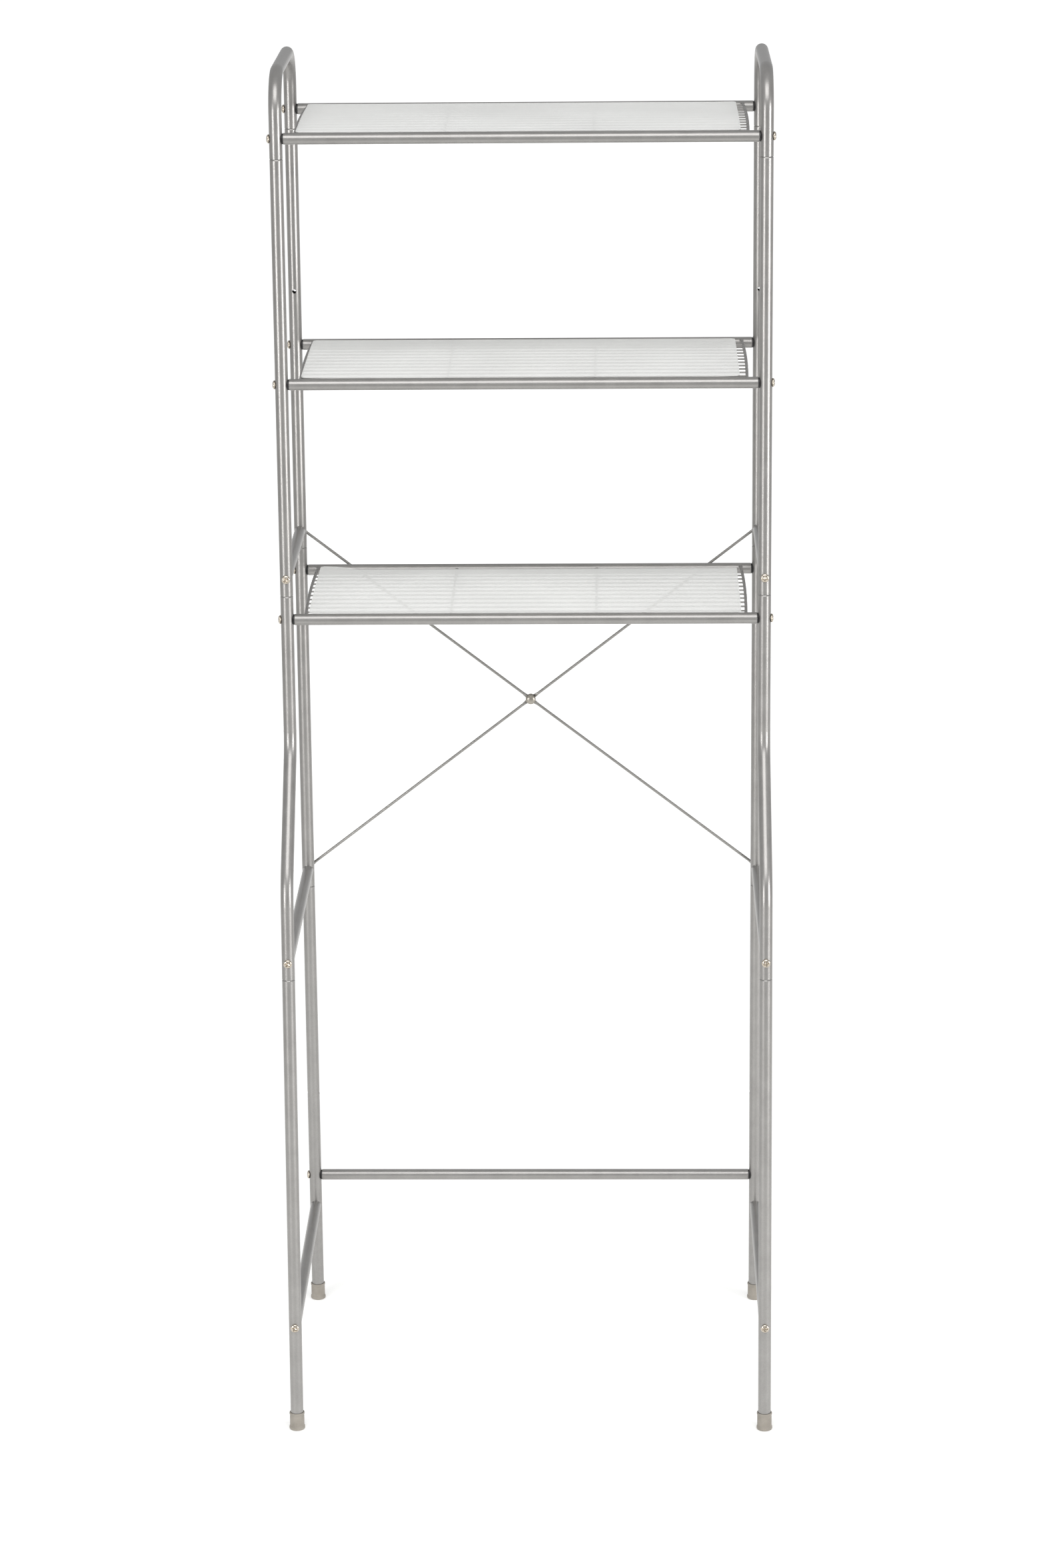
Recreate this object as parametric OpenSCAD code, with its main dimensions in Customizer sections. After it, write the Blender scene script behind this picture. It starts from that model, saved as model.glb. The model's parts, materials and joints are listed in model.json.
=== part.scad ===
// Over-the-toilet storage rack: two tubular side frames, three wire shelves with
// lift-off liners, a crossed brace and a low rear bar. Millimetres, +Z up, front is -Y.

/* [Side frames] */
// Spacing of the left and right posts, centre to centre, mm
post_spacing = 588; // [560:1:620]
// Spacing of the front and rear posts at the shelves, centre to centre, mm
shelf_depth = 240; // [228:1:252]
// Spacing of the front and rear feet on the floor, centre to centre, mm
foot_depth = 390; // [372:1:404]
// Outside diameter of the posts, mm
post_od = 16; // [16:0.5:17]
// Wall of every tube, mm
tube_wall = 0.9; // [0.8:0.05:1]
// Height of the top of the hoops, mm
top_height = 1696; // [1690:1:1715]
// Centreline radius of the two corners of each hoop, mm
hoop_bend_r = 45; // [30:1:60]

/* [Joints in the posts] */
// Height of the joint between the lower legs and the middle posts, mm
seam_low = 587; // [580:1:590]
// Height of the joint between the middle and the upper posts, mm
seam_mid = 1046; // [1042:1:1048]
// Height of the joint between the upper posts and the hoops, mm
seam_top = 1588; // [1584:1:1590]
// Length of the narrowed spigot on top of each lower tube, mm
spigot_len = 16; // [10:1:16]

/* [Middle front posts] */
// Slant of the post between its two bends, degrees
bend_angle = 35.5; // [33:0.5:38]
// Height where the lower bend ends, mm
bend_low_z = 679; // [670:1:690]
// Centreline radius of the upper bend, mm
bend_r_top = 60; // [50:1:70]
// Centreline radius of the lower bend, mm
bend_r_low = 80; // [70:1:90]

/* [Shelves] */
// Height of the top shelf's rails, mm
shelf_top_z = 1612; // [1611:1:1616]
// Height of the middle shelf's rails, mm
shelf_mid_z = 1311; // [1290:1:1330]
// Height of the bottom shelf's rails, mm
shelf_low_z = 1015; // [1008:1:1018]
// Outside diameter of the rails, side bars and rear bar, mm
rail_od = 14; // [13:0.5:14]
// Gap between a rail end and the post, filled by its plug, mm
rail_gap = 1; // [0.8:0.1:3]
// Long wires in each shelf
wire_count = 12; // [10:1:13]
// Diameter of the long wires, mm
wire_d = 2.2; // [2:0.1:2.6]
// Diameter of the two cross wires under them, mm
cross_d = 3; // [2.6:0.1:3.4]
// Diameter of the wire at each end, mm
end_d = 3.8; // [3.4:0.1:4]
// Rise of the wires halfway between the rails, mm
wire_crown = 2; // [1:0.1:2.4]
// Thickness of a liner, mm
liner_t = 1; // [0.8:0.1:1.4]
// Width of a liner, mm
liner_w = 534; // [520:1:534]

/* [Bars and brace] */
// Height of the upper side bars, mm
bar_top_z = 1068; // [1068:1:1080]
// Height of the middle side bars, mm
bar_mid_z = 609; // [609:1:620]
// Height of the lower side bars, mm
bar_low_z = 136; // [130:1:141]
// Height of the rear bar, mm
rear_bar_z = 178; // [172:1:195]
// Height of the spare holes for the rear bar, mm
spare_z = 296; // [275:1:310]
// Height of the wall screw holes, mm
wall_hole_z = 1381; // [1360:1:1400]
// Diameter of the brace rods, mm
rod_d = 3.5; // [3:0.1:4]
// Height of the brace's centre, mm
brace_mid_z = 838; // [836:1:841]

/* [Fasteners and feet] */
// Diameter of the screw holes, mm
hole_d = 5.2; // [5.1:0.05:5.4]
// Diameter of a screw head, mm
head_d = 11; // [10:0.5:11.5]
// Height of a foot cap, mm
cap_h = 22; // [18:1:25]
// Diameter of a foot cap at the floor, mm
cap_d = 20; // [19:0.5:21]

/* [Hidden] */
$fn = 64;
PR = post_od / 2;            // post radius
PI_R = PR - tube_wall;       // post inside radius
RR = rail_od / 2;            // rail radius
RI_R = RR - tube_wall;       // rail inside radius
HX = post_spacing / 2;       // post centre from the middle
YR = 191.6 + (foot_depth - 390) / 2; // rear posts' Y
YF = YR - shelf_depth;       // front posts' Y at the shelves
YFT = YR - foot_depth;       // front feet's Y on the floor
SH = hole_d / 2;             // screw hole radius
SR = 2.45;                   // screw shank radius
HT = 3.3;                    // screw head height
reach = 37;                  // run of the front leg below the middle side bar
lean = atan(reach / bar_mid_z);       // lean of the front leg
function leg_y(z) = YFT + z * tan(lean);
function xs(s, v) = s < 0 ? -v : v;
// middle front post: the path between its two bends
BC = cos(bend_angle);
BS = sin(bend_angle);
y_end = leg_y(bend_low_z);
slant = (YF - y_end - bend_r_top * (1 - BC) - bend_r_low * (cos(lean) - BC)) / BS;
z_start = bend_low_z + bend_r_top * BS + slant * BC + bend_r_low * (BS - sin(lean));
y_p1 = YF - bend_r_top * (1 - BC);
z_p1 = z_start - bend_r_top * BS;
// shelf wires: both families follow one shallow arch between the rails
half_d = shelf_depth / 2;
arch_r = (half_d * half_d + wire_crown * wire_crown) / (2 * wire_crown);
wire_z = 3.6;                // arch height at the rails, above the rail axis
end_bow = 2;                 // outward bow of the end wires
end_x = HX - 22.7;           // end wires at the rails
rail_len = post_spacing - post_od - 2 * rail_gap;
pitch = shelf_depth / (wire_count + 1);
function arch(y) = wire_crown - arch_r + sqrt(arch_r * arch_r - y * y);
function bow(y) = end_bow * (1 - y * y / (half_d * half_d));
tube_col = [0.56, 0.55, 0.52];
steel_col = [0.75, 0.73, 0.70];
black_col = [0.08, 0.08, 0.08];
vinyl_col = [0.50, 0.49, 0.46];
liner_col = [0.93, 0.94, 0.94, 0.8];

// a straight tube with a narrowed spigot on top; z = 0 at its lower end
module spigot_tube(len) {
  rotate_extrude()
    polygon([[PI_R, 0], [PR, 0], [PR, len - 1.6], [PI_R - 0.05, len],
      [PI_R - 0.05, len + spigot_len - 0.6], [PI_R - 0.6, len + spigot_len],
      [PI_R - 0.95, len + spigot_len], [PI_R - 0.95, len - 0.4], [PI_R, len - 2.4]]);
}
// the same tube filled in, cut from a part to clear the post
module post_cut(len) { cylinder(h = len, r = PR + 0.02); }
// round hole along X or Y through both walls of a post
module hole_x(x, y, z, r) { translate([x - 15, y, z]) rotate([0, 90, 0]) cylinder(h = 30, r = r); }
module hole_y(x, y, z, r) { translate([x, y + 15, z]) rotate([90, 0, 0]) cylinder(h = 30, r = r); }
// bend in the YZ plane, angle measured from +Y towards +Z
module bend_yz(y, z, rb, r, a0, a1) {
  translate([0, y, z]) rotate([90, 0, 90]) rotate([0, 0, a0])
    rotate_extrude(angle = a1 - a0) translate([rb, 0]) circle(r = r);
}
// move to the front leg's axis at height z, leaning with it
module on_leg(z) { translate([0, leg_y(z), z]) rotate([-lean, 0, 0]) children(); }

// ---- hoops ----
module hoop_run(r, low) {
  zc = top_height - PR - hoop_bend_r;
  for (y = [YF, YR]) translate([0, y, low]) cylinder(h = zc - low, r = r);
  bend_yz(YF + hoop_bend_r, zc, hoop_bend_r, r, 90, 180);
  bend_yz(YR - hoop_bend_r, zc, hoop_bend_r, r, 0, 90);
  translate([0, YR - hoop_bend_r, zc + hoop_bend_r]) rotate([90, 0, 0])
    cylinder(h = shelf_depth - 2 * hoop_bend_r, r = r);
}
module hoop(s) {
  color(tube_col) translate([s * HX, 0, 0]) difference() {
    hoop_run(PR, seam_top);
    hoop_run(PI_R, seam_top - 1);
    for (y = [YF, YR]) hole_x(0, y, shelf_top_z, SH);
  }
}

// ---- posts and legs ----
module upper_post(s, y, wall) {
  color(tube_col) translate([s * HX, y, 0]) difference() {
    translate([0, 0, seam_mid]) spigot_tube(seam_top - seam_mid);
    hole_y(0, 0, bar_top_z, SH);
    hole_x(0, 0, shelf_mid_z, SH);
    if (wall) hole_y(0, 0, wall_hole_z, SH);
  }
}
module middle_rear(s) {
  color(tube_col) translate([s * HX, YR, 0]) difference() {
    translate([0, 0, seam_low]) spigot_tube(seam_mid - seam_low);
    hole_y(0, 0, bar_mid_z, SH);
    hole_x(0, 0, shelf_low_z, SH);
  }
}
// the post below its upper bend; a faint ring at each end of a bend is the bending die's mark
module slant_run(r, over) {
  low = (bend_low_z - seam_low) / cos(lean);
  bend_yz(YF - bend_r_top, z_start, bend_r_top, r, -bend_angle, 0);
  translate([0, y_p1, z_p1]) rotate([-bend_angle, 0, 0]) {
    translate([0, 0, -slant]) cylinder(h = slant, r = r);
    for (h = [-slant, 0]) translate([0, 0, h - 0.7]) cylinder(h = 1.4, r = r + 0.06);
  }
  bend_yz(y_end + bend_r_low * cos(lean), bend_low_z - bend_r_low * sin(lean),
    bend_r_low, r, 180 - bend_angle, 180 - lean);
  on_leg(bend_low_z) {
    translate([0, 0, -low - over]) cylinder(h = low + over, r = r);
    translate([0, 0, -0.7]) cylinder(h = 1.4, r = r + 0.06);
  }
  translate([0, YF, z_start - 0.7]) cylinder(h = 1.4, r = r + 0.06);
}
module middle_front(s) {
  color(tube_col) translate([s * HX, 0, 0]) difference() {
    union() {
      translate([0, YF, z_start]) rotate_extrude()
        polygon([[0, 0], [PR, 0], [PR, seam_mid - z_start - 1.6],
          [PI_R - 0.05, seam_mid - z_start], [PI_R - 0.05, seam_mid - z_start + spigot_len - 0.6],
          [PI_R - 0.6, seam_mid - z_start + spigot_len], [0, seam_mid - z_start + spigot_len]]);
      slant_run(PR, 0);
    }
    translate([0, YF, z_start]) rotate_extrude()
      polygon([[0, 0], [PI_R, 0], [PI_R, seam_mid - z_start - 2.4],
        [PI_R - 0.95, seam_mid - z_start - 0.4],
        [PI_R - 0.95, seam_mid - z_start + spigot_len + 2], [0, seam_mid - z_start + spigot_len + 2]]);
    slant_run(PI_R, 1);
    hole_x(0, YF, shelf_low_z, SH);
    hole_y(0, leg_y(bar_mid_z), bar_mid_z, SH);
  }
}
module lower_front(s) {
  len = (seam_low - 4) / cos(lean);
  color(tube_col) translate([s * HX, 0, 0]) difference() {
    on_leg(seam_low) translate([0, 0, -len]) spigot_tube(len);
    hole_y(0, leg_y(bar_low_z), bar_low_z, SH);
  }
}
module lower_rear(s) {
  color(tube_col) translate([s * HX, YR, 0]) difference() {
    translate([0, 0, 4]) spigot_tube(seam_low - 4);
    hole_y(0, 0, bar_low_z, SH);
    hole_x(0, 0, rear_bar_z, SH);
    hole_x(0, 0, spare_z, SH);
  }
}
// soft cap with a rolled lip, pushed over the end of a leg
module cap_body(under) {
  rotate_extrude()
    polygon([[0, -under], [cap_d / 2, -under], [cap_d / 2, 2], [cap_d / 2 - 0.9, 4],
      [PR + 1.3, cap_h - 3], [PR + 1.5, cap_h - 2], [PR + 1.2, cap_h], [PR + 0.05, cap_h],
      [PR + 0.05, 4], [0, 4]]);
}
module front_foot(s) {
  color(vinyl_col) translate([s * HX, 0, 0]) difference() {
    on_leg(0) cap_body(2);
    translate([-30, YFT - 30, -20]) cube([60, 60, 20]);
  }
}
module rear_foot(s) {
  color(vinyl_col) translate([s * HX, YR, 0]) cap_body(0);
}

// ---- side bars ----
// end of a bar at the front post: the post's own cylinder at that height
module front_post_cut(z) {
  if (z > seam_mid) translate([0, YF, z - 20]) post_cut(40);
  else on_leg(z) translate([0, 0, -20]) post_cut(40);
}
function bar_front_y(z) = z > seam_mid ? YF : leg_y(z);
module side_bar(s, z) {
  yf = bar_front_y(z);
  color(tube_col) translate([s * HX, 0, 0]) difference() {
    translate([0, YR, z]) rotate([90, 0, 0]) cylinder(h = YR - yf, r = RR);
    translate([0, YR + 1, z]) rotate([90, 0, 0]) cylinder(h = YR - yf + 2, r = RI_R);
    translate([0, YR, z - 20]) post_cut(40);
    front_post_cut(z);
  }
}
module bar_insert(s, y, z, d) {
  translate([s * HX, y, z]) rotate([d * 90, 0, 0]) difference() {
    cylinder(h = 14, r = RI_R - 0.02);
    translate([0, 0, -1]) cylinder(h = 16, r = 2.5);
  }
}

// ---- shelves ----
module rail(y, z) {
  color(tube_col) translate([-rail_len / 2, y, z]) rotate([90, 0, 90]) rotate_extrude()
    polygon([[RI_R, 0], [RR - 0.6, 0], [RR, 0.6], [RR, rail_len - 0.6],
      [RR - 0.6, rail_len], [RI_R, rail_len]]);
}
// plug in a rail end: a saddle seat against the post and a sleeve in the tube
module rail_plug(s, y, z) {
  translate([s * (rail_len / 2), y, z]) rotate([0, s * 90, 0]) difference() {
    union() {
      translate([0, 0, -13]) cylinder(h = 13, r = RI_R - 0.02);
      cylinder(h = rail_gap + 0.5, r = RR - 0.5);
    }
    translate([0, 0, -14]) cylinder(h = 30, r = 2.5);
    translate([20, 0, rail_gap + PR]) rotate([0, -90, 0]) cylinder(h = 40, r = PR + 0.02);
  }
}
module arch_wire(r, drop) {
  translate([0, 0, wire_z + wire_crown - arch_r - drop])
    rotate([90, 0, 90]) rotate([0, 0, 90 - asin((half_d - 2) / arch_r)])
    rotate_extrude(angle = 2 * asin((half_d - 2) / arch_r)) translate([arch_r, 0]) circle(r = r);
}
module end_wire(s) {
  sag = sqrt(wire_crown * wire_crown + end_bow * end_bow);
  er = (half_d * half_d + sag * sag) / (2 * sag);
  a = asin((half_d - 2) / er);
  translate([s * end_x, 0, wire_z]) rotate([0, s * atan(end_bow / wire_crown), 0])
    translate([0, 0, sag - er]) rotate([90, 0, 90]) rotate([0, 0, 90 - a])
    rotate_extrude(angle = 2 * a) translate([er, 0]) circle(r = end_d / 2);
}
module wire_grid(z) {
  color(tube_col) translate([0, YR - half_d, z]) difference() {
    union() {
      for (k = [1 : wire_count]) {
        y = half_d - k * pitch;
        lx = end_x + bow(y);
        translate([-lx, y, wire_z + arch(y)]) rotate([0, 90, 0])
          cylinder(h = 2 * lx, r = wire_d / 2);
      }
      for (x = [-post_spacing * 0.158, post_spacing * 0.148])
        translate([x, 0, 0]) arch_wire(cross_d / 2, wire_d / 2 + cross_d / 2 - 0.3);
      for (s = [-1, 1]) end_wire(s);
    }
    for (y = [-half_d, half_d]) translate([-HX, y, 0]) rotate([0, 90, 0])
      cylinder(h = post_spacing, r = RR + 0.01);
  }
}
// a liner lies dx off the middle; up lifts it where its left end rests on the end wire
module liner(z, dx, up) {
  d = half_d - RR - 1.2;
  a = asin(d / arch_r);
  r0 = arch_r + wire_d / 2 + 0.15;
  color(liner_col) translate([dx - liner_w / 2, YR - half_d, z + up + wire_z + wire_crown - arch_r])
    rotate([90, 0, 90]) linear_extrude(height = liner_w) intersection() {
      difference() { circle(r = r0 + liner_t, $fn = 720); circle(r = r0, $fn = 720); }
      polygon([[-d, r0 - 20], [d, r0 - 20], [d, r0 + 20], [-d, r0 + 20]]);
    }
}

// ---- brace ----
// half a rod, from the middle eye to the eye behind a post; y is the depth of the rod's axis and
// f0, f1 are the depths where the middle and the end are pressed flat
module half_rod(x, z, y, f0, f1) {
  dz = z - brace_mid_z;
  L = sqrt(x * x + dz * dz);
  translate([0, 0, brace_mid_z]) rotate([0, -atan2(dz, x), 0]) {
    translate([7.5, y, 0]) rotate([0, 90, 0]) cylinder(h = L - 15, r = rod_d / 2);
    translate([2, f0, -2.3]) cube([6.5, 1.5, 4.6]);
    translate([L - 8.5, f1, -2.3]) cube([6.5, 1.5, 4.6]);
  }
  translate([x, f1 + 1.5, z]) rotate([90, 0, 0]) cylinder(h = 1.5, r = 4.6);
}
module brace_rod(s, f0) {
  y = YR + PR + 0.2 + rod_d / 2;
  color(tube_col) difference() {
    union() {
      half_rod(-s * HX, bar_top_z, y, f0, YR + PR + 0.05);
      half_rod(s * HX, bar_mid_z, y, f0, YR + PR + 0.05);
      translate([0, f0 + 1.5, brace_mid_z]) rotate([90, 0, 0]) cylinder(h = 1.5, r = 5);
    }
    hole_y(-s * HX, YR + PR, bar_top_z, SH);
    hole_y(s * HX, YR + PR, bar_mid_z, SH);
    hole_y(0, YR + PR, brace_mid_z, 3.05);
  }
}
// rivet with a thick domed cap on each side of the two middle eyes
module brace_rivet() {
  color(tube_col) translate([0, YR + PR + 0.35, brace_mid_z]) rotate([90, 0, 0]) {
    translate([0, 0, -3.3]) cylinder(h = 3.5, r = 3);
    cylinder(h = 3.4, r = 6.5);
    intersection() {
      translate([0, 0, 3.3]) cylinder(h = 3, r = 6.5);
      translate([0, 0, 5.6 - 10.8]) sphere(r = 10.8);
    }
    translate([0, 0, -6.4]) cylinder(h = 3.2, r = 6);
    intersection() {
      translate([0, 0, -9]) cylinder(h = 2.7, r = 6);
      translate([0, 0, -8.2 + 10]) sphere(r = 10);
    }
  }
}

// ---- screws ----
// pan head with a cross recess; the head's seat is at z = 0 and the shank runs down
module screw(len) {
  difference() {
    union() {
      intersection() {
        cylinder(h = HT, r = head_d / 2);
        translate([0, 0, HT - 7.4]) sphere(r = 7.4);
      }
      translate([0, 0, -len]) cylinder(h = len + 0.5, r = SR);
    }
    translate([-2.6, -0.5, HT - 1.9]) cube([5.2, 1, 3]);
    translate([-0.5, -2.6, HT - 1.9]) cube([1, 5.2, 3]);
  }
}

hoop(-1);  // left_hoop
hoop(1);  // right_hoop
upper_post(-1, YF, false);  // left_upper_front_post
upper_post(1, YF, false);  // right_upper_front_post
upper_post(-1, YR, true);  // left_upper_rear_post
upper_post(1, YR, true);  // right_upper_rear_post
middle_front(-1);  // left_middle_front_post
middle_front(1);  // right_middle_front_post
middle_rear(-1);  // left_middle_rear_post
middle_rear(1);  // right_middle_rear_post
lower_front(-1);  // left_lower_front_leg
lower_front(1);  // right_lower_front_leg
lower_rear(-1);  // left_lower_rear_leg
lower_rear(1);  // right_lower_rear_leg
front_foot(-1);  // left_front_foot
front_foot(1);  // right_front_foot
rear_foot(-1);  // left_rear_foot
rear_foot(1);  // right_rear_foot
side_bar(-1, bar_top_z);  // left_upper_side_bar
side_bar(1, bar_top_z);  // right_upper_side_bar
side_bar(-1, bar_mid_z);  // left_middle_side_bar
side_bar(1, bar_mid_z);  // right_middle_side_bar
side_bar(-1, bar_low_z);  // left_lower_side_bar
side_bar(1, bar_low_z);  // right_lower_side_bar
rail(YF, shelf_top_z);  // top_front_rail
rail(YR, shelf_top_z);  // top_rear_rail
rail(YF, shelf_mid_z);  // middle_front_rail
rail(YR, shelf_mid_z);  // middle_rear_rail
rail(YF, shelf_low_z);  // bottom_front_rail
rail(YR, shelf_low_z);  // bottom_rear_rail
wire_grid(shelf_top_z);  // top_wire_grid
wire_grid(shelf_mid_z);  // middle_wire_grid
wire_grid(shelf_low_z);  // bottom_wire_grid
liner(shelf_top_z, -4, 0.9);  // top_liner
liner(shelf_mid_z, -4, 0.9);  // middle_liner
liner(shelf_low_z, -1, 0);  // bottom_liner
rail(YR, rear_bar_z);  // rear_bar
brace_rod(1, YR + PR + 0.4);  // brace_rod_a
brace_rod(-1, YR + PR + 2);  // brace_rod_b
brace_rivet();
color(black_col)  // shelf_rail_plugs
  for (s = [-1, 1], y = [YF, YR], z = [shelf_top_z, shelf_mid_z, shelf_low_z]) rail_plug(s, y, z);
color(black_col)  // rear_bar_plugs
  for (s = [-1, 1]) rail_plug(s, YR, rear_bar_z);
color(steel_col)  // side_bar_inserts
  for (s = [-1, 1], z = [bar_top_z, bar_mid_z, bar_low_z]) {
    bar_insert(s, YR - PR - 1, z, 1);
    bar_insert(s, bar_front_y(z) + PR + 1, z, -1);
  }
color(steel_col)  // shelf_screws
  for (s = [-1, 1], y = [YF, YR], z = [shelf_top_z, shelf_mid_z, shelf_low_z])
    translate([s * (HX + PR + 0.02), y, z]) rotate([0, s * 90, 0]) rotate([0, 0, 20]) screw(30);
color(steel_col)  // rear_bar_screws
  for (s = [-1, 1])
    translate([s * (HX + PR + 0.02), YR, rear_bar_z]) rotate([0, s * 90, 0]) rotate([0, 0, 35]) screw(30);
color(steel_col)  // side_bar_front_screws
  for (s = [-1, 1], z = [bar_top_z, bar_mid_z, bar_low_z])
    translate([s * HX, bar_front_y(z) - PR - (z > seam_mid ? 0.02 : 0.24), z])
      rotate([90, 0, 0]) rotate([0, 0, s * 15]) screw(30);
color(steel_col)  // side_bar_rear_screws
  for (s = [-1, 1], z = [bar_top_z, bar_mid_z, bar_low_z])
    translate([s * HX, YR + PR + (z == bar_low_z ? 0.02 : 1.65), z])
      rotate([-90, 0, 0]) rotate([0, 0, s * 25]) screw(z == bar_low_z ? 30 : 31);
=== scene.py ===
# %% [markdown]
# # A tubular storage rack that stands over a toilet
# The rack is two side frames of thin steel tube, joined by wire shelves, a crossed rod brace and
# a low rear bar. The measured parts come ready-made as a fixed frame in metres. This script gives
# them their finishes, and models again the small pieces whose soft edges matter: the screws, foot
# caps, brace, rivet, welds and the loose plastic liners.

# %% Load the fixed frame
import json
import math
import bpy
import numpy as np
from mathutils import Matrix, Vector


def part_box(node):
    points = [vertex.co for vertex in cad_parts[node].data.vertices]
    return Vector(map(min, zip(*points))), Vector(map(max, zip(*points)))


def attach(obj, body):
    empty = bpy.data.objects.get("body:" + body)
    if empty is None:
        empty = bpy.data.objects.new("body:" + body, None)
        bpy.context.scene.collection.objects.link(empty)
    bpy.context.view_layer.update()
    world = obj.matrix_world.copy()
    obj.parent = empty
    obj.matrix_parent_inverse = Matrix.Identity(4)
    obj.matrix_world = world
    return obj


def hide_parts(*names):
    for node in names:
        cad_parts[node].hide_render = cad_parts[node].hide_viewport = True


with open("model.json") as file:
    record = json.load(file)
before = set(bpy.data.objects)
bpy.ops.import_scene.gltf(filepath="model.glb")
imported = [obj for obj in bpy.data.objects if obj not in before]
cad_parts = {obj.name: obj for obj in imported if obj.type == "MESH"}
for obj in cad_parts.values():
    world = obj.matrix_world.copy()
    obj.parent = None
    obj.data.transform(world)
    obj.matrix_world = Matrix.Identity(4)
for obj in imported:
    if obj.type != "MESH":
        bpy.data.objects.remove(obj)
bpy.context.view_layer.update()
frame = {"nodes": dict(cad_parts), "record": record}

# %% [markdown]
# ## Where things are
# Every new piece is placed from the frame's own boxes, so it fits without any trial and error.
# The middle of a straight tube's box is its axis, and half its width is its radius.

# %% Measure the frame
def middle(node):
    """The middle of a node's box: the mean of its lowest and highest corners."""
    low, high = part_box(node)
    return np.array((low + high) / 2)


post_x, rear_y, _ = middle("right_upper_rear_post")
front_y = middle("right_upper_front_post")[1]
low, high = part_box("right_lower_rear_leg")
POST_R = (high.x - low.x) / 2
SHELVES = {name: middle(name + "_front_rail")[2] for name in ("top", "middle", "bottom")}
BARS = {name: middle(f"left_{name}_side_bar")[2] for name in ("upper", "middle", "lower")}
DEPTH = rear_y - front_y
foot_low, foot_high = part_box("left_rear_foot")
FOOT_R, FOOT_H = (foot_high.x - foot_low.x) / 2, foot_high.z
front_foot_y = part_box("left_front_foot")[0].y + FOOT_R
print("posts at x", round(post_x, 4), "y", round(front_y, 4), round(rear_y, 4), "radius", POST_R)
print("shelves", SHELVES, "bars", BARS, "front foot y", round(front_foot_y, 4))

# %% [markdown]
# ## The camera
# A long lens from about five metres keeps the posts nearly parallel. The rack is seen from a
# little above its top, so the camera tips down, and a small shift of the lens frames it. Roll,
# turn and tip are small angles: the three axes are worked out from them and put in a matrix.

# %% Set up the camera
TIP, TURN, ROLL = 0.2573, -0.0235, 0.0097
LENS, LENS_SHIFT = 96.8556, -0.1386
CAMERA_AT = (0.1145, rear_y - 5.2469, 2.3991)


def camera_axes(tip, turn, roll):
    """Right, down and forward of a camera that looks along +Y, turned about Z, tipped down and rolled."""
    forward = np.array([math.sin(turn) * math.cos(tip), math.cos(turn) * math.cos(tip), -math.sin(tip)])
    right = np.array([math.cos(turn), -math.sin(turn), 0.0])
    down = np.cross(forward, right)
    return (math.cos(roll) * right + math.sin(roll) * down,
            -math.sin(roll) * right + math.cos(roll) * down, forward)


right, down, forward = camera_axes(TIP, TURN, ROLL)
camera_data = bpy.data.cameras.new("studio_camera")
camera_data.sensor_width = 36
camera_data.lens = LENS
camera_data.shift_y = LENS_SHIFT
camera_data.clip_end = 100
camera = bpy.data.objects.new("studio_camera", camera_data)
bpy.context.scene.collection.objects.link(camera)
turned = np.eye(4)
turned[:3, 0], turned[:3, 1], turned[:3, 2], turned[:3, 3] = right, -down, -forward, CAMERA_AT
camera.matrix_world = Matrix(turned.tolist())
bpy.context.scene.camera = camera
print("camera: lens", round(camera_data.lens, 2), "mm at", CAMERA_AT)

# %% [markdown]
# ## Floor and light
# A studio table is one pale sheet that runs far behind the object, so no horizon shows. It has a
# painted glow, an emission that grows towards the back, and painted shade that turns its colour grey
# in front and to the sides. Low soft panels left and right draw the long pale bands that make round
# metal look round, one overhead lights the shelves, and the greyer air between them gives the tubes
# their darker edges.

# %% Colours, and one helper for shader nodes
def linear(hexed, alpha=1.0):
    """An sRGB hex colour as linear numbers: c/12.92 for dark values, ((c+0.055)/1.055)^2.4 above 0.04045."""
    c = np.array([int(hexed[i:i + 2], 16) for i in (1, 3, 5)]) / 255
    c = np.where(c <= 0.04045, c / 12.92, ((c + 0.055) / 1.055) ** 2.4)
    return (*c.tolist(), alpha)


def add(tree, kind, settings=None, links=None):
    """Adds a node. A setting names a property or an input, ramp lists colour stops; a link feeds an input."""
    node = tree.nodes.new(kind)
    for key, value in (settings or {}).items():
        if key == "ramp":
            stops = node.color_ramp.elements
            while len(stops) < len(value):
                stops.new(0.5)
            for stop, (place, colour) in zip(stops, value):
                stop.position, stop.color = place, colour
        elif isinstance(key, str) and hasattr(node, key):
            setattr(node, key, value)
        else:
            node.inputs[key].default_value = value
    for key, (source, output) in (links or {}).items():
        tree.links.new(source.outputs[output], node.inputs[key])
    return node


def finish_named(name):
    """A new material with an empty node tree and its output: gives the material, its tree and the output."""
    material = bpy.data.materials.new(name)
    material.use_nodes = True
    material.node_tree.nodes.clear()
    return material, material.node_tree, add(material.node_tree, "ShaderNodeOutputMaterial")


print("white in linear:", linear("#ffffff"))

# %% Floor
floor_data = bpy.data.meshes.new("studio_floor")
floor_data.from_pydata([(-40, -30, -0.0004), (40, -30, -0.0004), (40, 60, -0.0004), (-40, 60, -0.0004)],
                       [], [(0, 1, 2, 3)])
floor = bpy.data.objects.new("studio_floor", floor_data)
bpy.context.scene.collection.objects.link(floor)
floor_finish, tree, out = finish_named("white_sweep_painted_glow_and_shade")
place = add(tree, "ShaderNodeTexCoord")
split = add(tree, "ShaderNodeSeparateXYZ", links={"Vector": (place, "Object")})
# painted shade: distance in front and to the sides turns the floor's colour from white to grey
aside = add(tree, "ShaderNodeMath", {"operation": "ABSOLUTE"}, {0: (split, "X")})
wedge = add(tree, "ShaderNodeMath", {"operation": "MULTIPLY_ADD", 1: -0.125},
            {0: (split, "Y"), 2: (aside, "Value")})
ahead = add(tree, "ShaderNodeMath", {"operation": "MULTIPLY_ADD", 1: -1.0, 2: 0.15}, {0: (split, "Y")})
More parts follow.
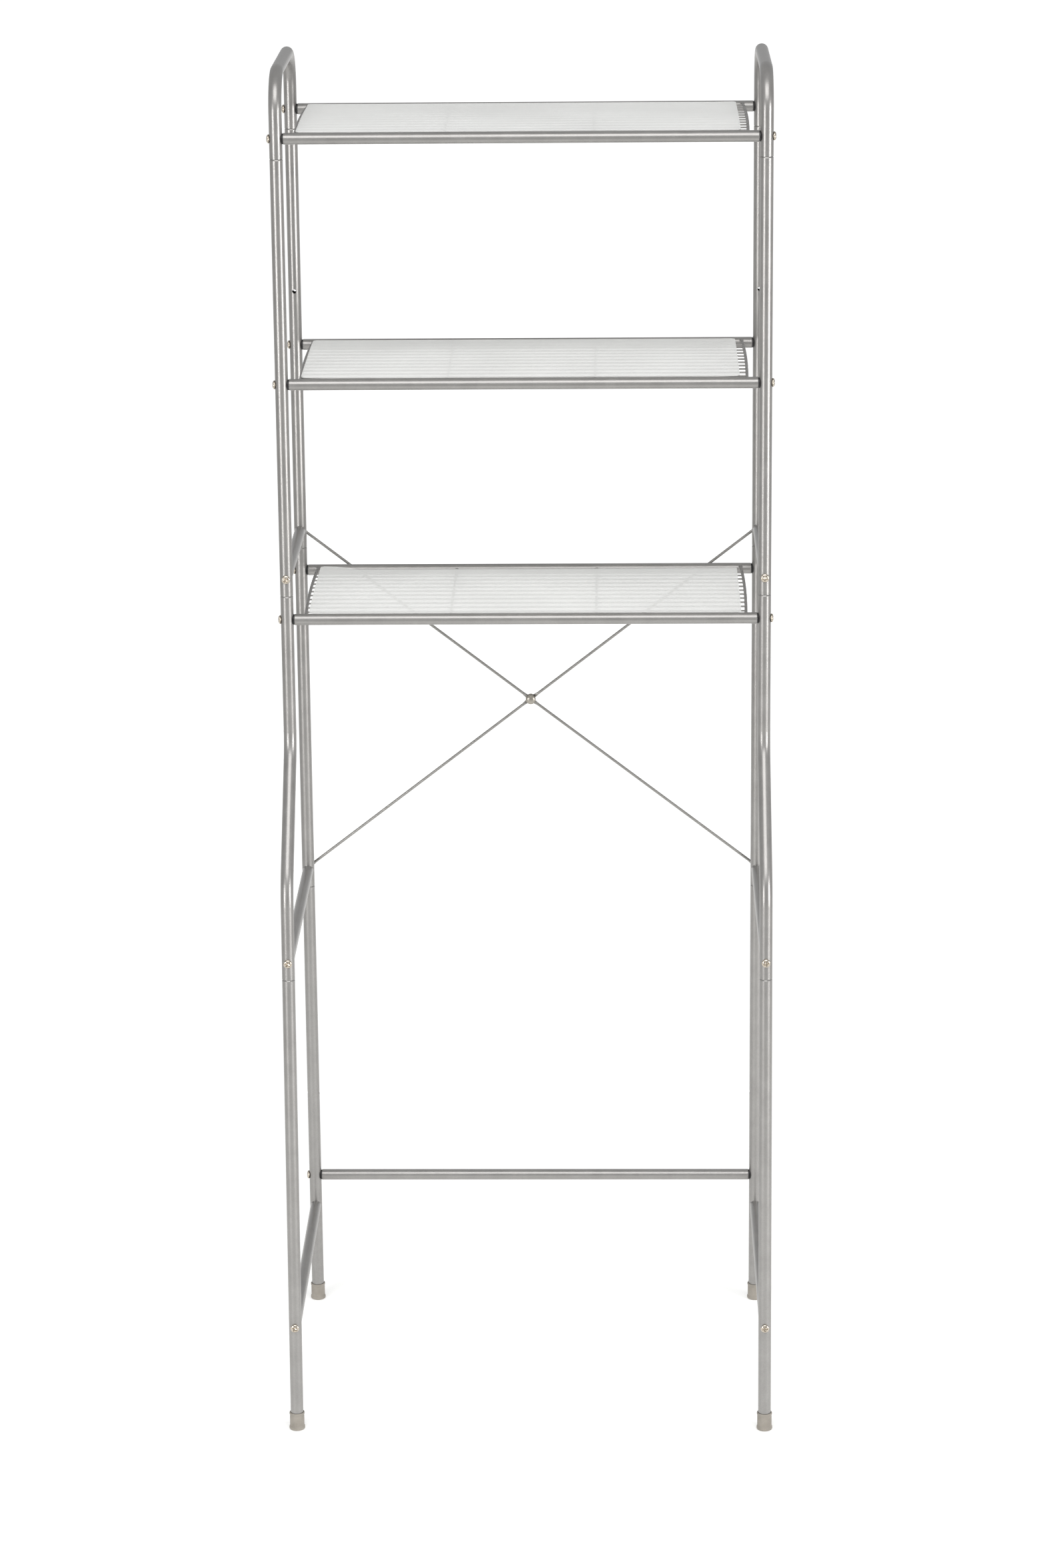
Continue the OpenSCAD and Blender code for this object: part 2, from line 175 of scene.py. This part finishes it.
apart = add(tree, "ShaderNodeMath", {"operation": "SMOOTH_MAX", 2: 1.0},
            {0: (wedge, "Value"), 1: (ahead, "Value")})
grey = add(tree, "ShaderNodeMapRange", {"interpolation_type": "SMOOTHSTEP", "From Min": 0.8, "From Max": 3.0},
           {"Value": (apart, "Value")})
tone = add(tree, "ShaderNodeValToRGB", {"ramp": [(0.0, linear("#f0f0ee")), (1.0, linear("#9a9a98"))]},
           {"Fac": (grey, "Result")})
# painted glow: an emission from 0.3 to 0.6 that grows towards the back stands in for light on the far sweep
painted_glow = add(tree, "ShaderNodeMapRange", {"interpolation_type": "SMOOTHSTEP", "From Min": -0.2, "From Max": 3.5,
           "To Min": 0.3, "To Max": 0.6}, {"Value": (split, "Y")})
shader = add(tree, "ShaderNodeBsdfPrincipled", {"Roughness": 0.9, "Emission Color": linear("#ffffff")},
             {"Base Color": (tone, "Color"), "Emission Strength": (painted_glow, "Result")})
tree.links.new(shader.outputs["BSDF"], out.inputs["Surface"])
floor_data.materials.append(floor_finish)
print("floor", [round(x, 1) for x in floor.dimensions])

# %% Light panels and the air
PANELS = {  # name: place, width, height, power in watts
    "left_panel": ((-2.6, -3.1, 1.0), 0.8, 1.9, 50),
    "right_panel": ((3.2, -2.2, 1.0), 1.0, 1.9, 70),
    "top_panel": ((0.0, -2.6, 4.2), 3.6, 2.6, 90),
}
LIT_POINT = (0, 0, 0.9)


def facing(aim):
    """The turn that points -Z along aim and keeps X level: columns aim x Z, (aim x Z) x aim and -aim, each of
    length one."""
    aim = aim / np.linalg.norm(aim)
    side = np.cross(aim, (0, 0, 1))
    side /= np.linalg.norm(side)
    return Matrix(np.column_stack([side, np.cross(side, aim), -aim]).tolist())


for name, (place, width, height, power) in PANELS.items():
    light_data = bpy.data.lights.new(name, "AREA")
    light_data.shape, light_data.size, light_data.size_y, light_data.energy = "RECTANGLE", width, height, power
    light = bpy.data.objects.new(name, light_data)
    bpy.context.scene.collection.objects.link(light)
    light.matrix_world = Matrix.Translation(place) @ facing(np.array(LIT_POINT) - np.array(place)).to_4x4()
world = bpy.data.worlds.new("studio_air")
world.use_nodes = True
world.node_tree.nodes["Background"].inputs["Color"].default_value = linear("#f4f5f6")
world.node_tree.nodes["Background"].inputs["Strength"].default_value = 0.6
bpy.context.scene.world = world
bpy.context.scene.view_settings.view_transform = "Standard"
print("panels:", list(PANELS))

# %% [markdown]
# ## The paint on the tubes
# The tubes are cold-rolled steel with a sprayed satin nickel paint. Its metal flake lies nearly
# flat under a thin clear film, so it mirrors the room softly, with a faint sparkle and mottle, and
# the film adds a second, slightly sharper gloss. Along the tube the spray leaves it a little
# uneven. Flakes are about 0.05 mm; they are drawn 1.2 mm wide, or they would not show at all.

# %% Satin nickel paint
def sprayed_nickel(name, light_tone, dark_tone, flake_mm, roughness):
    """Metallic paint: two tones mixed by spray mottle, which also shifts the gloss, fine flake in the colour
    and orange peel in the bump."""
    material, tree, out = finish_named(name)
    place = add(tree, "ShaderNodeTexCoord")
    mottle = add(tree, "ShaderNodeTexNoise", {"Scale": 45.0, "Detail": 4.0, "Roughness": 0.6},
                 {"Vector": (place, "Object")})
    flake = add(tree, "ShaderNodeTexVoronoi", {"feature": "F1", "Scale": 1000.0 / flake_mm},
                {"Vector": (place, "Object")})
    tone = add(tree, "ShaderNodeValToRGB", {"ramp": [(0.35, linear(dark_tone)), (0.66, linear(light_tone))]},
               {"Fac": (mottle, "Fac")})
    speck = add(tree, "ShaderNodeValToRGB",
                {"ramp": [(0.0, (0.96, 0.96, 0.96, 1)), (1.0, (1.04, 1.04, 1.03, 1))]},
                {"Fac": (flake, "Color")})
    colour = add(tree, "ShaderNodeMix", {"data_type": "RGBA", "blend_type": "MULTIPLY", 0: 1.0})
    tree.links.new(tone.outputs["Color"], colour.inputs[6])
    tree.links.new(speck.outputs["Color"], colour.inputs[7])
    rough = add(tree, "ShaderNodeMapRange", {"To Min": roughness - 0.05, "To Max": roughness + 0.07},
                {"Value": (mottle, "Fac")})
    peel = add(tree, "ShaderNodeTexNoise", {"Scale": 420.0, "Detail": 2.0}, {"Vector": (place, "Object")})
    bump = add(tree, "ShaderNodeBump", {"Strength": 0.1, "Distance": 0.00012}, {"Height": (peel, "Fac")})
    shader = add(tree, "ShaderNodeBsdfPrincipled", {"Metallic": 0.75, "Coat Weight": 0.08,
                 "Coat Roughness": 0.3}, {"Roughness": (rough, "Result"), "Normal": (bump, "Normal")})
    tree.links.new(colour.outputs[2], shader.inputs["Base Color"])
    tree.links.new(shader.outputs["BSDF"], out.inputs["Surface"])
    return material


tube_paint = sprayed_nickel("satin_nickel_paint_on_steel_tube", "#9c9a98", "#959391", 1.2, 0.33)
wire_paint = sprayed_nickel("satin_nickel_paint_on_wire", "#949290", "#8d8b89", 0.9, 0.38)
rod_paint = sprayed_nickel("satin_nickel_paint_on_rod", "#9a9895", "#92908d", 0.9, 0.34)
print("paints:", tube_paint.name, wire_paint.name, rod_paint.name)

# %% [markdown]
# ## Nickel plate, zinc plate, moulded black plastic and soft vinyl
# The screws are tumbled and plated with bright, slightly warm nickel. The threaded inserts inside
# the bars are dull zinc. The rail plugs are moulded black nylon with a fine spark-eroded grain. The
# foot caps are dipped soft vinyl: grey, dull and faintly uneven.

# %% Plated metals
def plated(name, tone, roughness, grain_mm, lumps):
    """Plated metal: one tone, with polishing grain of a real width in the roughness and a soft bump."""
    material, tree, out = finish_named(name)
    place = add(tree, "ShaderNodeTexCoord")
    grain = add(tree, "ShaderNodeTexNoise", {"Scale": 1000.0 / grain_mm, "Detail": 3.0},
                {"Vector": (place, "Object")})
    tint = add(tree, "ShaderNodeHueSaturation", {"Color": linear(tone)})
    shade = add(tree, "ShaderNodeMapRange", {"To Min": 0.9, "To Max": 1.06}, {"Value": (grain, "Fac")})
    tree.links.new(shade.outputs["Result"], tint.inputs["Value"])
    rough = add(tree, "ShaderNodeMapRange", {"To Min": roughness * 0.7, "To Max": roughness * 1.4},
                {"Value": (grain, "Fac")})
    bump = add(tree, "ShaderNodeBump", {"Strength": lumps, "Distance": 0.0001}, {"Height": (grain, "Fac")})
    shader = add(tree, "ShaderNodeBsdfPrincipled", {"Metallic": 1.0},
                 {"Base Color": (tint, "Color"), "Roughness": (rough, "Result"), "Normal": (bump, "Normal")})
    tree.links.new(shader.outputs["BSDF"], out.inputs["Surface"])
    return material


screw_nickel = plated("bright_nickel_plate", "#c4bbae", 0.2, 1.5, 0.15)
insert_zinc = plated("dull_zinc_plate", "#aaa9a6", 0.42, 0.8, 0.3)
rivet_nickel = plated("satin_nickel_rivet", "#a9a49b", 0.34, 1.0, 0.2)
print("plated metals:", screw_nickel.name, insert_zinc.name, rivet_nickel.name)

# %% Moulded plastics
def moulded(name, light_tone, dark_tone, patch_mm, grain_mm, roughness, relief, sheen=0.0):
    """Moulded or dipped plastic: broad patches of two tones, and a fine surface grain in the bump."""
    material, tree, out = finish_named(name)
    place = add(tree, "ShaderNodeTexCoord")
    patches = add(tree, "ShaderNodeTexNoise", {"Scale": 1000.0 / patch_mm, "Detail": 5.0},
                  {"Vector": (place, "Object")})
    tone = add(tree, "ShaderNodeValToRGB", {"ramp": [(0.3, linear(dark_tone)), (0.7, linear(light_tone))]},
               {"Fac": (patches, "Fac")})
    grain = add(tree, "ShaderNodeTexNoise", {"Scale": 1000.0 / grain_mm, "Detail": 2.0},
                {"Vector": (place, "Object")})
    rough = add(tree, "ShaderNodeMapRange", {"To Min": roughness - 0.08, "To Max": roughness + 0.08},
                {"Value": (patches, "Fac")})
    bump = add(tree, "ShaderNodeBump", {"Strength": 0.4, "Distance": relief}, {"Height": (grain, "Fac")})
    shader = add(tree, "ShaderNodeBsdfPrincipled", {"IOR": 1.5, "Sheen Weight": sheen},
                 {"Base Color": (tone, "Color"), "Roughness": (rough, "Result"), "Normal": (bump, "Normal")})
    tree.links.new(shader.outputs["BSDF"], out.inputs["Surface"])
    return material


plug_nylon = moulded("black_moulded_nylon", "#1d1d1f", "#131314", 6.0, 0.5, 0.45, 0.00005)
foot_vinyl = moulded("grey_dipped_vinyl", "#958f86", "#837d74", 14.0, 1.1, 0.62, 0.00012, 0.1)
print("plastics:", plug_nylon.name, foot_vinyl.name)

# %% [markdown]
# ## The frosted liner sheet
# Each liner is a 1 mm sheet of milky polypropylene, calendered with a matte grain on both faces. It
# lets about a third of what lies beneath show, so the wires under it read as soft grey lines. A
# share of plain see-through in the shader does this well, and comes out the same in other viewers.

# %% Milky polypropylene
liner_milk, tree, out = finish_named("milky_polypropylene_sheet")
place = add(tree, "ShaderNodeTexCoord")
frost = add(tree, "ShaderNodeTexNoise", {"Scale": 900.0, "Detail": 3.0}, {"Vector": (place, "Object")})
cloud = add(tree, "ShaderNodeTexNoise", {"Scale": 9.0, "Detail": 3.0}, {"Vector": (place, "Object")})
tone = add(tree, "ShaderNodeValToRGB", {"ramp": [(0.3, linear("#f5f5f3")), (0.7, linear("#fbfbf9"))]},
           {"Fac": (cloud, "Fac")})
bump = add(tree, "ShaderNodeBump", {"Strength": 0.25, "Distance": 0.00005}, {"Height": (frost, "Fac")})
shader = add(tree, "ShaderNodeBsdfPrincipled", {"Roughness": 0.52, "IOR": 1.49, "Alpha": 0.66,
             "Subsurface Weight": 0.0}, {"Base Color": (tone, "Color"), "Normal": (bump, "Normal")})
tree.links.new(shader.outputs["BSDF"], out.inputs["Surface"])
print("liner:", liner_milk.name)

# %% Put the finishes on the frame's nodes
FINISHES = {"tube_paint": tube_paint, "wire_paint": wire_paint, "rod_paint": rod_paint,
            "rivet_nickel": rivet_nickel, "screw_nickel": screw_nickel, "insert_steel": insert_zinc,
            "plug_plastic": plug_nylon, "foot_vinyl": foot_vinyl, "liner_plastic": liner_milk}
for part in frame["record"]["subparts"]:
    node = frame["nodes"][part["node"]]
    node.data.materials.clear()
    node.data.materials.append(FINISHES[part["material_slot"]])

# %% [markdown]
# ## Making closed skins
# Every new piece is a stack of rings of points. A skin joins each ring to the next, closes around,
# and fans over both ends. If its signed volume comes out below zero it is inside out, and is turned.

# %% Rings to closed skins to a piece
def skin(rings, loop=False):
    """A closed skin over rings[i, j]: quads between rings i and i+1 with j wrapping round, each end fanned
    to its mean point, or ring joined to ring when loop is set. Turned over if a sixth of the sum of
    v0 . (v1 x v2) over its triangles is negative."""
    n, m = rings.shape[:2]
    rows = np.arange(n if loop else n - 1)
    i, j = [a.ravel() for a in np.meshgrid(rows, np.arange(m), indexing="ij")]
    i2, j2 = (i + 1) % n, (j + 1) % m
    verts = rings.reshape(-1, 3)
    quads = np.stack([i * m + j, i * m + j2, i2 * m + j2, i2 * m + j], 1)
    tris = np.zeros((0, 3), int)
    if not loop:
        a, b = np.arange(m), (np.arange(m) + 1) % m
        tris = np.vstack([np.stack([a * 0 + n * m, b, a], 1),
                          np.stack([a * 0 + n * m + 1, (n - 1) * m + a, (n - 1) * m + b], 1)])
        verts = np.vstack([verts, rings[0].mean(0), rings[-1].mean(0)])
    faces = np.vstack([quads[:, :3], quads[:, [0, 2, 3]], tris])
    p, q, r = (verts - verts.mean(0))[faces].transpose(1, 0, 2)
    if (p * np.cross(q, r)).sum() < 0:
        quads, tris = quads[:, ::-1], tris[:, ::-1]
    return verts, quads, tris


def piece(name, skins, finish, body, stands_for=()):
    """One mesh object from several skins, smooth but with edges over 40 degrees kept sharp, on a body."""
    starts = np.cumsum([0] + [len(v) for v, _, _ in skins])
    verts = np.vstack([v for v, _, _ in skins])
    faces = [face for start, (_, quads, tris) in zip(starts, skins)
             for face in (quads + start).tolist() + (tris + start).tolist()]
    mesh = bpy.data.meshes.new(name)
    mesh.from_pydata(verts.tolist(), [], faces)
    mesh.validate()
    mesh.shade_smooth()
    mesh.set_sharp_from_angle(angle=math.radians(40))
    mesh.materials.append(finish)
    made = bpy.data.objects.new(name, mesh)
    bpy.context.scene.collection.objects.link(made)
    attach(made, body)
    if stands_for:
        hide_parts(*stands_for)
    print(name, len(verts), "points")
    return made


def turned_profile(profile, around=64):
    """A lathed form: profile points (radius, height) swept about Z, point j at angle 2 pi j / around."""
    r, z = np.array(profile, float).T
    a = np.linspace(0, 2 * math.pi, around, endpoint=False)
    z = np.broadcast_to(z[:, None], (len(z), around))
    return np.stack([r[:, None] * np.cos(a), r[:, None] * np.sin(a), z], 2)


def rounded(points, radius, steps=5):
    """A profile with its inner corners rounded: each corner becomes a quadratic curve between the points
    radius before and after it, (1-t)^2 a + 2t(1-t) b + t^2 c."""
    points = np.array(points, float)
    made = [points[0]]
    for a, b, c in zip(points[:-2], points[1:-1], points[2:]):
        before, after = np.linalg.norm(a - b), np.linalg.norm(c - b)
        p = b + (a - b) * min(radius / before, 0.49)
        q = b + (c - b) * min(radius / after, 0.49)
        t = np.linspace(0, 1, steps)[:, None]
        made.extend((1 - t) ** 2 * p + 2 * t * (1 - t) * b + t ** 2 * q)
    return np.array(made + [points[-1]])


def set_down(points, origin, axis, spin=0.0):
    """Points made about Z moved to origin with Z along axis, after a spin about Z in degrees."""
    axis = np.array(axis, float) / np.linalg.norm(axis)
    side = np.cross(axis, (0, 0, 1) if abs(axis[2]) < 0.9 else (0, 1, 0))
    side /= np.linalg.norm(side)
    lift = np.cross(axis, side)
    c, s = math.cos(math.radians(spin)), math.sin(math.radians(spin))
    basis = np.stack([c * side + s * lift, -s * side + c * lift, axis])
    return points @ basis + np.array(origin)


print("helpers ready")

# %% [markdown]
# ## Pan-head screws
# The rack is put together with 5 mm pan-head machine screws with a cross recess. The head is a flat
# dome with a rolled edge; the recess is four tapered wings meeting in a small pit. A polar grid
# carries the dome, and the recess is a depth subtracted from its height, so its walls lean inwards.
# Nobody lines the crosses up, so each screw is turned by its own amount.

# %% Screws
HEAD_R, SHANK_R, SCREW_LENGTH = 0.0054, 0.00245, 0.03
RIM, DOME, RECESS = 0.0009, 0.0023, 0.0024


def screw_skin():
    """Head and shank as rings about Z, the seat at z = 0. Dome height over radius: 0.9 mm rim plus
    2.3 mm * (1 - (r/R)^2.6)^0.5; recess depth: 2.4 mm where one of |x|, |y| is under the wing's half
    width 0.7 mm and the other under 2.9 mm, falling off over 0.35 and 0.5 mm."""
    t = np.linspace(0, 1, 40)[1:]
    r = HEAD_R * np.sin(t * math.pi / 2) ** 0.9
    a = np.linspace(0, 2 * math.pi, 72, endpoint=False)
    x, y = r[:, None] * np.cos(a), r[:, None] * np.sin(a)
    z = RIM + DOME * np.sqrt(np.clip(1 - (r / HEAD_R) ** 2.6, 0, 1))[:, None] + 0 * x
    near, far = np.minimum(abs(x), abs(y)), np.maximum(abs(x), abs(y))
    wing = np.clip((0.00105 - near) / 0.00035, 0, 1) * np.clip((0.0034 - far) / 0.0005, 0, 1)
    z = z - RECESS * wing * (1.15 - far / 0.005)
    top = np.stack([x, y, z], 2)
    under = turned_profile([(HEAD_R, 0.0004), (HEAD_R - 0.0003, 0), (SHANK_R, 0),
                            (SHANK_R, -SCREW_LENGTH + 0.0008), (SHANK_R - 0.0007, -SCREW_LENGTH)], 72)
    return skin(np.vstack([top, under]))


def screw_at(origin, axis, spin):
    """A screw set down with its seat at origin and its head along axis."""
    verts, quads, tris = screw_skin()
    return set_down(verts, origin, axis, spin), quads, tris


spins = iter(np.random.default_rng(7).uniform(0, 90, 40))
shelf_screws = [screw_at((s * (post_x + POST_R), y, z), (s, 0, 0), next(spins))
                for s in (-1, 1) for y in (front_y, rear_y) for z in SHELVES.values()]
bar_z = middle("rear_bar")[2]
low_screws = [screw_at((s * (post_x + POST_R), rear_y, bar_z), (s, 0, 0), next(spins)) for s in (-1, 1)]
piece("pan_head_shelf_screws", shelf_screws, screw_nickel, "frame", ["shelf_screws"])
piece("pan_head_rear_bar_screws", low_screws, screw_nickel, "frame", ["rear_bar_screws"])

# %% Side bar screws
LEG_RUN = 0.037                    # how far back the leaning front leg has come at its middle bar
REACH = LEG_RUN / BARS["middle"]   # the same for each metre of height
LEAN_STEP = 0.00022                # what a head stands off a leaning leg
ROD_END = 0.00163                  # the upper rear screws clamp the flattened end of a brace rod


def leg_y(height):
    """Depth of the leaning front leg's axis: the foot's depth plus height times its slope."""
    return front_foot_y + height * REACH


front_screws, rear_screws = [], []
for name, z in BARS.items():
    axis_y = front_y if name == "upper" else leg_y(z)
    seat = axis_y - POST_R - (0 if name == "upper" else LEAN_STEP)
    back = rear_y + POST_R + (0 if name == "lower" else ROD_END)
    for s in (-1, 1):
        front_screws.append(screw_at((s * post_x, seat, z), (0, -1, 0), next(spins)))
        rear_screws.append(screw_at((s * post_x, back, z), (0, 1, 0), next(spins)))
piece("pan_head_front_screws", front_screws, screw_nickel, "frame", ["side_bar_front_screws"])
piece("pan_head_rear_screws", rear_screws, screw_nickel, "frame", ["side_bar_rear_screws"])

# %% [markdown]
# ## Foot caps
# A foot cap is a soft cup pushed over the end of the leg. It flares a little at the floor, has a
# thin wall with a rolled lip at its top, and a shallow neck under the lip where it grips the tube.
# It is a lathed profile with rounded corners. The front legs lean, so their caps lean with them,
# and the sole is pressed level on the floor.

# %% Foot caps
sole = rounded([(0.0002, 0), (FOOT_R - 0.0006, 0), (FOOT_R, 0.0012), (FOOT_R - 0.0002, 0.0034),
                (FOOT_R - 0.0009, 0.0048), (POST_R + 0.00105, FOOT_H - 0.0052),
                (POST_R + 0.0009, FOOT_H - 0.0038), (POST_R + 0.00155, FOOT_H - 0.0026),
                (POST_R + 0.0015, FOOT_H - 0.0006), (POST_R + 0.0009, FOOT_H),
                (POST_R + 0.0001, FOOT_H - 0.0002), (POST_R + 0.00005, FOOT_H - 0.002),
                (POST_R + 0.00005, 0.0042), (0.0002, 0.004)], 0.0006, 4)
for side, s in (("left", -1), ("right", 1)):
    for end, y in (("front", front_foot_y), ("rear", rear_y)):
        rings = turned_profile(sole, 72)
        if end == "front":
            rings[..., 1] += rings[..., 2] * REACH
            on_floor = rings[..., 2] < 0.003
            rings[..., 2] -= np.where(on_floor, 0, rings[..., 1] * REACH * 0.6)
        rings += (s * post_x, y, 0)
        piece(f"{side}_{end}_vinyl_cap", [skin(rings)], foot_vinyl, "frame",
              [f"{side}_{end}_foot"])

# %% [markdown]
# ## The crossed brace
# Each brace rod is a 3.5 mm wire, pressed flat and punched at both ends and at its middle. The
# rods bolt to the backs of the rear posts, and one large rivet with domed caps holds their middle
# eyes together. A rod's half is a row of rings along a straight line: where it is round a ring is
# a circle, and towards the flats its width grows and its thickness shrinks, with a smooth step.

# %% Brace rods
ROD_R, EYE_T = 0.00175, 0.0015
brace_z = middle("brace_rivet")[2]
rod_y = rear_y + POST_R + 0.0002 + ROD_R
post_eye_y = rear_y + POST_R + 0.00005 + EYE_T / 2


def smooth(t):
    """The smooth step 3t^2 - 2t^3 between 0 and 1."""
    t = np.clip(t, 0, 1)
    return t * t * (3 - 2 * t)


def half_rod(x, z, middle_eye_y):
    """Rings from the middle eye to the eye at (x, z). At share f flat, the ring's half width is
    1.75 mm + f * 0.7 mm and its half thickness 1.75 mm - f * 1 mm, and its depth moves to the eye's."""
    dx, dz = x, z - brace_z
    length = math.hypot(dx, dz)
    d = np.array([0.0032, 0.0045, 0.006, 0.0068, 0.0076, 0.0084, 0.0092, 0.01, 0.0112, 0.0125, 0.014])
    d = np.concatenate([d, np.linspace(0.02, length - 0.02, 30), length - d[::-1]])
    inner, outer = 1 - smooth((d - 0.0055) / 0.0075), 1 - smooth((length - d - 0.0055) / 0.0075)
    flat = np.maximum(inner, outer)
    depth = rod_y + inner * (middle_eye_y - rod_y) + outer * (post_eye_y - rod_y)
    a = np.linspace(0, 2 * math.pi, 20, endpoint=False)
    wide, thick = (ROD_R + flat * 0.0007)[:, None], (ROD_R - flat * 0.001)[:, None]
    power = (1 - 0.45 * flat)[:, None]
    across = wide * np.sign(np.cos(a)) * abs(np.cos(a)) ** power
    deep = thick * np.sign(np.sin(a)) * abs(np.sin(a)) ** power
    along = d[:, None] + 0 * across
    return np.stack([(along * dx - across * dz) / length, depth[:, None] + deep,
                     brace_z + (along * dz + across * dx) / length], 2)


def eye(x, y, z, outer, inner):
    """A flat ring round a screw or rivet: a rectangle with rounded corners carried round a circle."""
    t = EYE_T / 2
    shape = np.array([(outer, -t + 0.0003), (outer, t - 0.0003), (outer - 0.0003, t), (inner + 0.0002, t),
                      (inner, t - 0.0002), (inner, -t + 0.0002), (inner + 0.0002, -t), (outer - 0.0003, -t)])
    rings = turned_profile(shape, 40).transpose(1, 0, 2)
    return skin(set_down(rings, (x, y, z), (0, 1, 0)), loop=True)


top_z, low_z = BARS["upper"], BARS["middle"]
for letter, s, eye_y in (("a", 1, rear_y + POST_R + 0.0004 + EYE_T / 2),
                         ("b", -1, rear_y + POST_R + 0.0020 + EYE_T / 2)):
    skins = [skin(half_rod(-s * post_x, top_z, eye_y)), skin(half_rod(s * post_x, low_z, eye_y)),
             eye(0, eye_y, brace_z, 0.005, 0.00305),
             eye(-s * post_x, post_eye_y, top_z, 0.0046, 0.0026),
             eye(s * post_x, post_eye_y, low_z, 0.0046, 0.0026)]
    piece(f"crossed_rod_{letter}", skins, rod_paint, "frame", [f"brace_rod_{letter}"])

# %% Brace rivet
front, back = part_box("brace_rivet")[0].y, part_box("brace_rivet")[1].y
gap_front, gap_back = rear_y + POST_R + 0.00035, rear_y + POST_R + 0.00355
front_cap = rounded([(0.0002, front), (0.0035, front + 0.0004), (0.0056, front + 0.0016),
                     (0.0065, front + 0.0031), (0.0065, gap_front - 0.0006), (0.0060, gap_front),
                     (0.0031, gap_front), (0.0030, gap_front + 0.0004)], 0.0012, 5)
back_cap = rounded([(0.0030, gap_back - 0.0004), (0.0031, gap_back + 0.0001), (0.0056, gap_back + 0.0001),
                    (0.0060, gap_back + 0.0006), (0.0060, back - 0.0026), (0.0051, back - 0.0011),
                    (0.0032, back - 0.0003), (0.0002, back)], 0.0012, 5)
profile = np.vstack([front_cap, back_cap])
rings = set_down(turned_profile(profile, 64), (0, 0, brace_z), (0, 1, 0))
piece("domed_brace_rivet", [skin(rings)], rivet_nickel, "frame", ["brace_rivet"])

# %% [markdown]
# ## Welds on the wire shelves
# Each long wire is resistance-welded to the two cross wires and the two end wires, and those are
# welded to the rails. A weld leaves a small squashed bead of metal at the crossing. The beads are
# little ellipsoids with few faces, set at the crossings of the wires' own arch.

# %% Weld beads
WIRES, CROWN, WIRE_HEIGHT, END_BOW = 12, 0.002, 0.0036, 0.002
CROSS_WIRES = (-post_x * 0.316, post_x * 0.296)
pitch = DEPTH / (WIRES + 1)
arch_r = (DEPTH ** 2 / 4 + CROWN ** 2) / (2 * CROWN)


def arch(y):
    """Height of the wires over the rails' level: a circle's arc, crown - R + sqrt(R^2 - y^2)."""
    return CROWN - arch_r + np.sqrt(arch_r ** 2 - y ** 2)


def bead(origin, half):
    """An ellipsoid of 6 rings of 10 points, half = its half sizes."""
    v = np.linspace(-0.42 * math.pi, 0.42 * math.pi, 6)
    rings = turned_profile(np.stack([np.cos(v), np.sin(v)], 1), 10) * np.array(half) + np.array(origin)
    return skin(rings)


end_x = post_x - 0.0227
shelf_y = (front_y + rear_y) / 2
for name, z in SHELVES.items():
    beads = []
    for k in range(1, WIRES + 1):
        y = DEPTH / 2 - k * pitch
        height = z + WIRE_HEIGHT + arch(y)
        bow = END_BOW * (1 - (2 * y / DEPTH) ** 2)
        for x in CROSS_WIRES:
            beads.append(bead((x, shelf_y + y, height - 0.0012), (0.0019, 0.0015, 0.0009)))
        for s in (-1, 1):
            beads.append(bead((s * (end_x + bow - 0.0012), shelf_y + y, height), (0.0015, 0.0014, 0.0013)))
    for s in (-1, 1):
        for x, end in zip(CROSS_WIRES, (1, -1)):
            beads.append(bead((x, shelf_y + s * (DEPTH / 2 - 0.0068), z + 0.0022), (0.0024, 0.0016, 0.0012)))
            beads.append(bead((s * end_x, shelf_y + end * (DEPTH / 2 - 0.0066), z + 0.0044),
                              (0.0026, 0.0018, 0.0017)))
    piece(f"{name}_shelf_welds", beads, wire_paint, "frame")

# %% [markdown]
# ## The loose liners
# A liner is a stamped rectangle with small round corners that lies on the wires and takes their
# shallow arch. It is stiff, but it sags a hair between the wires, its free ends lift a little, and
# it is never quite flat: a slow wave of a tenth of a millimetre breaks up its gloss.
# The bottom one is cut a little short, and its rear edge hangs over the last wire, all but the left
# corner, which curls up. One grid makes the lower face and the upper face is the same grid a
# millimetre above; each ring runs along the lower face and back along the upper one.

# %% Liners
SHEET_T, CORNER = 0.001, 0.006
CUT_SHORT, DROOP = 0.005, 0.003   # of the bottom liner's rear edge
for name, z in SHELVES.items():
    low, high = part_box(name + "_liner")
    half_x, half_y, mid_x = (high.x - low.x) / 2, (high.y - low.y) / 2, (high.x + low.x) / 2
    u = np.concatenate([np.linspace(-1, -0.975, 9), np.linspace(-0.97, 0.97, 97), np.linspace(0.975, 1, 9)])
    v = np.linspace(-1, 1, 161)
    x = u * half_x
    past = np.clip(abs(x) - (half_x - CORNER), 0, None)
    short = half_y - CORNER + np.sqrt(np.clip(CORNER ** 2 - past ** 2, 0, None))
    y = v[None, :] * short[:, None]
    x = np.broadcast_to(x[:, None], y.shape)
    slack = (name == "bottom") * (1 - smooth((-x - half_x + 0.06) / 0.045))
    y = y - CUT_SHORT * slack * np.clip(v, 0, 1)
    sag = 0.00006 * (1 - np.cos(2 * math.pi * (y / pitch - 0.5)))
    lift = 0.0003 * smooth((abs(x) - half_x + 0.03) / 0.03) * (1 + np.sin(y * 40 + 9 * z))
    wave = 0.00012 * (1 + np.sin(x * 14 + 5 * z) * np.cos(y * 11))
    low_z = high.z - SHEET_T - CROWN + arch(y) - sag + np.minimum(lift + wave, 0.0009) - 0.0001
    low_z = low_z - DROOP * slack * smooth((y - 0.096) / 0.011)
    lower = np.stack([x, y, low_z], 2)
    upper = lower + (0, 0, SHEET_T)
    across = np.concatenate([lower, upper[:, ::-1]], 1)
    rings = across + (mid_x, shelf_y, 0)
    piece(f"{name}_milky_liner", [skin(rings)], liner_milk, f"{name}_liner_sheet",
          [name + "_liner"])
